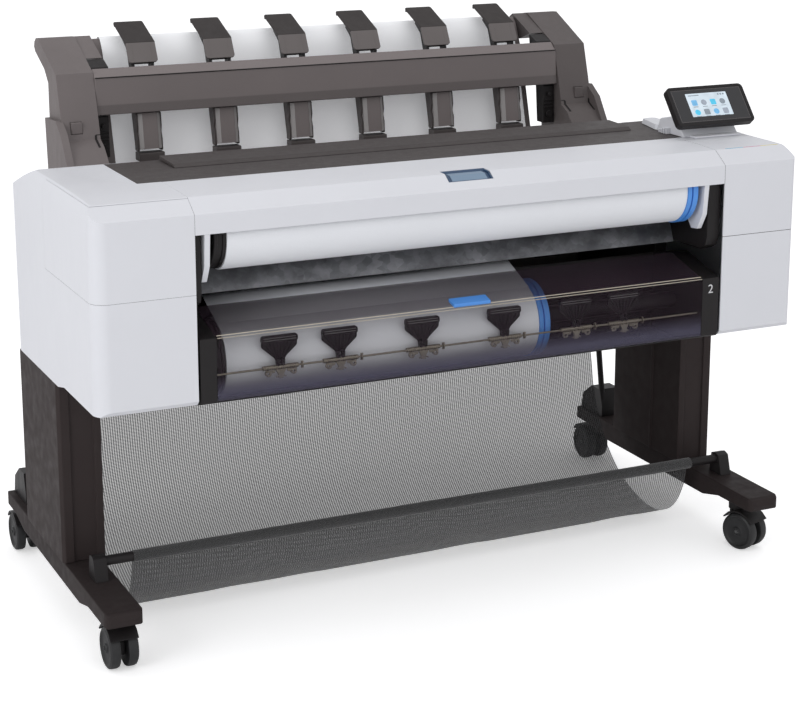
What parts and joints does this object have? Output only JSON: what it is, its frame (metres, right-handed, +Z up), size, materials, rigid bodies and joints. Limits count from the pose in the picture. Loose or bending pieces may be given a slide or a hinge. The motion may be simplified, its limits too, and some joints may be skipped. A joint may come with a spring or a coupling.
{
  "type": "large format plotter",
  "caption": "Floor-standing wide inkjet plotter on a wheeled stand, with a roll drawer, rear stacker, mesh catch basket and tilting touch panel.",
  "frame": {"origin": "middle of the footprint, on the floor under the casters", "axes": "+X to the machine's right as seen by a user standing in front, +Y from the front to the stacker at the back, +Z up"},
  "size_m": [1.39, 0.76, 1.047],
  "materials": {
    "white_cover": "fine-textured cool white moulding",
    "brown_plastic": "warm brown-grey textured moulding",
    "dark_plastic": "near-black moulding",
    "leg_metal": "powder-coated dark brown steel",
    "galvanised": "galvanised sheet with a mottled spangle",
    "steel": "bright steel",
    "paper": "uncoated white paper, wound or flat",
    "blue_plastic": "satin light blue moulding",
    "smoked_clear": "smoked clear polycarbonate",
    "black_glass": "glossy black display cover",
    "caster_rubber": "black wheel tread",
    "basket_mesh": "grey woven mesh"
  },
  "bodies": {
    "machine": {"cover_left": "white_cover", "cover_right_upper": "white_cover", "cover_right_lower": "white_cover", "panel_base": "white_cover", "deck": "brown_plastic", "deck_flap": "brown_plastic", "rear_panel": "brown_plastic", "stacker_tower_left": "brown_plastic", "stacker_tower_right": "brown_plastic", "stacker_cross_bar": "brown_plastic", "stacker_ribs": "brown_plastic", "stacker_tray": "brown_plastic", "basket_post_left": "dark_plastic", "basket_post_right": "dark_plastic", "basket_rear_rod": "dark_plastic", "basket_front_bar": "dark_plastic", "side_plate_left": "dark_plastic", "side_plate_right": "dark_plastic", "platen": "dark_plastic", "power_inlet": "dark_plastic", "ink_cartridges": "dark_plastic", "foot_left": "leg_metal", "foot_right": "leg_metal", "column_left": "leg_metal", "column_right": "leg_metal", "cross_brace": "leg_metal", "base_pan": "galvanised", "paper_beam": "galvanised", "carriage_rail": "steel", "printed_sheet": "paper", "basket_mesh": "basket_mesh"},
    "lid": {"lid": "white_cover", "lid_handle": "blue_plastic"},
    "ink_door": {"ink_door": "white_cover"},
    "drawer": {"drawer_tray": "dark_plastic", "drawer_window": "smoked_clear", "drawer_handle": "blue_plastic", "drawer_pinch_bar": "dark_plastic", "drawer_paper_web": "paper"},
    "upper_roll": {"upper_paper_roll": "paper", "upper_spindle": "dark_plastic", "upper_blue_hub": "blue_plastic"},
    "lower_roll": {"lower_paper_roll": "paper", "lower_spindle": "dark_plastic", "lower_blue_hub": "blue_plastic"},
    "carriage": {"carriage": "dark_plastic"},
    "control_panel": {"panel_housing": "dark_plastic", "panel_screen": "black_glass"},
    "hold_down_arms": {"stacker_arms": "brown_plastic"},
    "latch_left": {"latch_button_left": "dark_plastic"},
    "latch_right": {"latch_button_right": "dark_plastic"},
    "rocker": {"power_switch": "dark_plastic"},
    "swivel_front_left": {"caster_fork_front_left": "dark_plastic"},
    "wheels_front_left": {"caster_wheels_front_left": "caster_rubber"},
    "swivel_rear_left": {"caster_fork_rear_left": "dark_plastic"},
    "wheels_rear_left": {"caster_wheels_rear_left": "caster_rubber"},
    "swivel_front_right": {"caster_fork_front_right": "dark_plastic"},
    "wheels_front_right": {"caster_wheels_front_right": "caster_rubber"},
    "swivel_rear_right": {"caster_fork_rear_right": "dark_plastic"},
    "wheels_rear_right": {"caster_wheels_rear_right": "caster_rubber"}
  },
  "joints": [
    {"name": "lid_hinge", "type": "hinge", "parent": "machine", "child": "lid", "pos_m": [0.008, -0.21, 0.831], "axis": [-1, 0, 0], "range_deg": [0, 28]},
    {"name": "ink_door_hinge", "type": "hinge", "parent": "machine", "child": "ink_door", "pos_m": [-0.695, -0.0853, 0.748], "axis": [0, 0, -1], "range_deg": [0, 100]},
    {"name": "drawer_slide", "type": "slide", "parent": "machine", "child": "drawer", "axis": [0, -1, 0], "range_m": [0, 0.26]},
    {"name": "upper_roll_spin", "type": "hinge", "parent": "machine", "child": "upper_roll", "pos_m": [0, -0.305, 0.757], "axis": [1, 0, 0], "continuous": true},
    {"name": "lower_roll_spin", "type": "hinge", "parent": "drawer", "child": "lower_roll", "pos_m": [-0.15, -0.285, 0.53], "axis": [1, 0, 0], "continuous": true},
    {"name": "carriage_slide", "type": "slide", "parent": "machine", "child": "carriage", "axis": [-1, 0, 0], "range_m": [0, 0.86]},
    {"name": "panel_tilt", "type": "hinge", "parent": "machine", "child": "control_panel", "pos_m": [0.603, -0.2045, 0.879], "axis": [1, 0, 0], "range_deg": [-20, 15]},
    {"name": "arm_hinge", "type": "hinge", "parent": "machine", "child": "hold_down_arms", "pos_m": [0, 0.26, 0.962], "axis": [1, 0, 0], "range_deg": [0, 30]},
    {"name": "latch_left_press", "type": "slide", "parent": "machine", "child": "latch_left", "axis": [0, 1, 0], "range_m": [0, 0.003], "stiffness_N_per_m": 400, "springref_m": -0.002},
    {"name": "latch_right_press", "type": "slide", "parent": "machine", "child": "latch_right", "axis": [0, 1, 0], "range_m": [0, 0.003], "stiffness_N_per_m": 400, "springref_m": -0.002},
    {"name": "switch_rock", "type": "hinge", "parent": "machine", "child": "rocker", "pos_m": [0.438, 0.116, 0.56], "axis": [1, 0, 0], "range_deg": [-8, 8]},
    {"name": "swivel_front_left", "type": "hinge", "parent": "machine", "child": "swivel_front_left", "pos_m": [-0.652, -0.295, 0.105], "axis": [0, 0, 1], "continuous": true},
    {"name": "roll_front_left", "type": "hinge", "parent": "swivel_front_left", "child": "wheels_front_left", "pos_m": [-0.652, -0.315, 0.0375], "axis": [-1, 0, 0], "continuous": true},
    {"name": "swivel_front_right", "type": "hinge", "parent": "machine", "child": "swivel_front_right", "pos_m": [0.652, -0.295, 0.105], "axis": [0, 0, 1], "continuous": true},
    {"name": "roll_front_right", "type": "hinge", "parent": "swivel_front_right", "child": "wheels_front_right", "pos_m": [0.65818, -0.31402, 0.0375], "axis": [-0.9511, -0.309, 0], "continuous": true},
    {"name": "swivel_rear_left", "type": "hinge", "parent": "machine", "child": "swivel_rear_left", "pos_m": [-0.66, 0.278, 0.105], "axis": [0, 0, 1], "continuous": true},
    {"name": "roll_rear_left", "type": "hinge", "parent": "swivel_rear_left", "child": "wheels_rear_left", "pos_m": [-0.66, 0.298, 0.0375], "axis": [1, 0, 0], "continuous": true},
    {"name": "swivel_rear_right", "type": "hinge", "parent": "machine", "child": "swivel_rear_right", "pos_m": [0.66, 0.278, 0.105], "axis": [0, 0, 1], "continuous": true},
    {"name": "roll_rear_right", "type": "hinge", "parent": "swivel_rear_right", "child": "wheels_rear_right", "pos_m": [0.66, 0.298, 0.0375], "axis": [1, 0, 0], "continuous": true}
  ]
}
